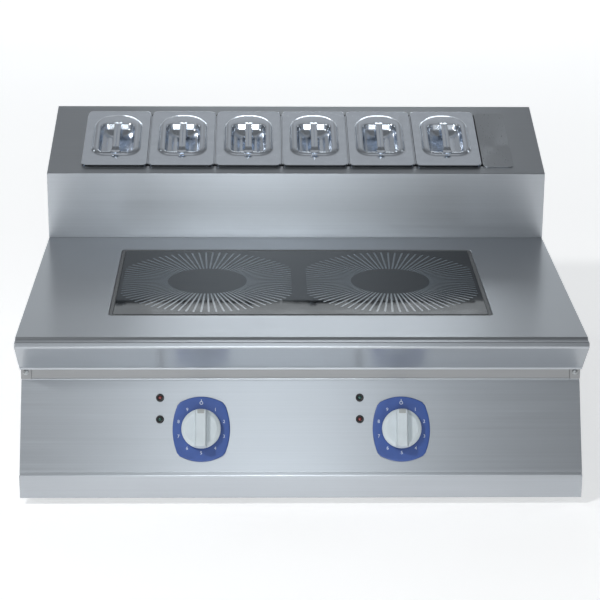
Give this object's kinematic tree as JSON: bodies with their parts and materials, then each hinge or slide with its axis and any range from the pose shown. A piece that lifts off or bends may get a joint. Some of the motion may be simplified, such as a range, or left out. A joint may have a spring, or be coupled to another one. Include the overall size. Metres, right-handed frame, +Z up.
{
  "type": "counter-top induction hob",
  "caption": "Counter-top induction hob in brushed steel with side-by-side cooking zones, rotary controls, and a raised rear rail of lidded ingredient containers.",
  "frame": {"origin": "on the ground, under the middle of the outline, knobs included", "axes": "+X to the right as seen by the cook, +Y from the front to the back, +Z up"},
  "size_m": [0.8, 0.7359, 0.4171],
  "materials": {
    "brushed_steel": "brushed stainless steel, grain running left to right",
    "polished_steel": "bright pressed stainless steel with a near-mirror well",
    "galvanised_steel": "dull zinc-coated sheet with a fine spangle",
    "aluminium": "plain mill finish",
    "copper_winding": "enamelled stranded copper wire",
    "ceramic_glass": "dark glass-ceramic, gloss, with pale printed rays round each zone",
    "seal_rubber": "matte silicone",
    "bezel_blue": "satin blue moulding with white dial marks",
    "knob_grey": "satin light grey-blue moulding",
    "lamp_red": "red lens in a black rim",
    "lamp_green": "green lens in a black rim",
    "white_nylon": "white nylon",
    "foot_rubber": "black rubber",
    "coil_carrier": "dark moulding with ferrite bars",
    "black_plastic": "black glass-filled plastic"
  },
  "bodies": {
    "hob_body": {"knob_bezel_left": "bezel_blue", "spindle_seal_left": "seal_rubber", "power_regulator_left": "black_plastic", "pilot_lamp_left_red": "lamp_red", "pilot_lamp_left_green": "lamp_green", "knob_bezel_right": "bezel_blue", "spindle_seal_right": "seal_rubber", "power_regulator_right": "black_plastic", "pilot_lamp_right_green": "lamp_green", "pilot_lamp_right_red": "lamp_red", "worktop": "brushed_steel", "ceramic_glass": "ceramic_glass", "glass_seal": "seal_rubber", "glass_support_frame": "galvanised_steel", "coil_tray": "aluminium", "coil_carrier_left": "coil_carrier", "induction_coil_left": "copper_winding", "coil_carrier_right": "coil_carrier", "induction_coil_right": "copper_winding", "control_panel": "brushed_steel", "lower_front_strip": "brushed_steel", "front_cross_rail": "brushed_steel", "rear_panel": "galvanised_steel", "base_pan": "galvanised_steel", "left_side_panel": "brushed_steel", "recess_screw_left": "galvanised_steel", "right_side_panel": "brushed_steel", "recess_screw_right": "galvanised_steel", "foot_1": "foot_rubber", "foot_2": "foot_rubber", "foot_3": "foot_rubber", "foot_4": "foot_rubber", "rail_housing": "brushed_steel", "generator_left": "aluminium", "fan_housing_left": "black_plastic", "generator_right": "aluminium", "fan_housing_right": "black_plastic", "terminal_block": "white_nylon", "cable_gland": "black_plastic", "mains_filter": "galvanised_steel"},
    "knob_left": {"knob_left": "knob_grey", "control_spindle_left": "galvanised_steel"},
    "fan_rotor_left": {"fan_rotor_left": "black_plastic"},
    "knob_right": {"knob_right": "knob_grey", "control_spindle_right": "galvanised_steel"},
    "fan_rotor_right": {"fan_rotor_right": "black_plastic"},
    "container_1": {"container_1": "polished_steel"},
    "lid_1": {"lid_1": "polished_steel"},
    "container_2": {"container_2": "polished_steel"},
    "lid_2": {"lid_2": "polished_steel"},
    "container_3": {"container_3": "polished_steel"},
    "lid_3": {"lid_3": "polished_steel"},
    "container_4": {"container_4": "polished_steel"},
    "lid_4": {"lid_4": "polished_steel"},
    "container_5": {"container_5": "polished_steel"},
    "lid_5": {"lid_5": "polished_steel"},
    "container_6": {"container_6": "polished_steel"},
    "lid_6": {"lid_6": "polished_steel"},
    "blank_plate": {"blank_plate": "brushed_steel"}
  },
  "joints": [
    {"name": "knob_left_turn", "type": "hinge", "parent": "hob_body", "child": "knob_left", "pos_m": [-0.1425, -0.33038, 0.10491], "axis": [0, 0.8824, -0.4706], "range_deg": [0, 324]},
    {"name": "knob_right_turn", "type": "hinge", "parent": "hob_body", "child": "knob_right", "pos_m": [0.1425, -0.33038, 0.10491], "axis": [0, 0.8824, -0.4706], "range_deg": [0, 324]},
    {"name": "container_1_lift", "type": "slide", "parent": "hob_body", "child": "container_1", "axis": [0, -0.2688, 0.9632], "range_m": [0, 0.13]},
    {"name": "container_2_lift", "type": "slide", "parent": "hob_body", "child": "container_2", "axis": [0, -0.2688, 0.9632], "range_m": [0, 0.13]},
    {"name": "container_3_lift", "type": "slide", "parent": "hob_body", "child": "container_3", "axis": [0, -0.2688, 0.9632], "range_m": [0, 0.13]},
    {"name": "container_4_lift", "type": "slide", "parent": "hob_body", "child": "container_4", "axis": [0, -0.2688, 0.9632], "range_m": [0, 0.13]},
    {"name": "container_5_lift", "type": "slide", "parent": "hob_body", "child": "container_5", "axis": [0, -0.2688, 0.9632], "range_m": [0, 0.13]},
    {"name": "container_6_lift", "type": "slide", "parent": "hob_body", "child": "container_6", "axis": [0, -0.2688, 0.9632], "range_m": [0, 0.13]},
    {"name": "lid_1_lift", "type": "slide", "parent": "container_1", "child": "lid_1", "axis": [0, -0.2688, 0.9632], "range_m": [0, 0.06]},
    {"name": "lid_2_lift", "type": "slide", "parent": "container_2", "child": "lid_2", "axis": [0, -0.2688, 0.9632], "range_m": [0, 0.06]},
    {"name": "lid_3_lift", "type": "slide", "parent": "container_3", "child": "lid_3", "axis": [0, -0.2688, 0.9632], "range_m": [0, 0.06]},
    {"name": "lid_4_lift", "type": "slide", "parent": "container_4", "child": "lid_4", "axis": [0, -0.2688, 0.9632], "range_m": [0, 0.06]},
    {"name": "lid_5_lift", "type": "slide", "parent": "container_5", "child": "lid_5", "axis": [0, -0.2688, 0.9632], "range_m": [0, 0.06]},
    {"name": "lid_6_lift", "type": "slide", "parent": "container_6", "child": "lid_6", "axis": [0, -0.2688, 0.9632], "range_m": [0, 0.06]},
    {"name": "blank_plate_lift", "type": "slide", "parent": "hob_body", "child": "blank_plate", "axis": [0, -0.2688, 0.9632], "range_m": [0, 0.04]},
    {"name": "fan_rotor_left_spin", "type": "hinge", "parent": "hob_body", "child": "fan_rotor_left", "pos_m": [-0.165, 0.23226, 0.0738], "axis": [0, 1, 0], "continuous": true},
    {"name": "fan_rotor_right_spin", "type": "hinge", "parent": "hob_body", "child": "fan_rotor_right", "pos_m": [0.165, 0.23226, 0.0738], "axis": [0, 1, 0], "continuous": true}
  ]
}
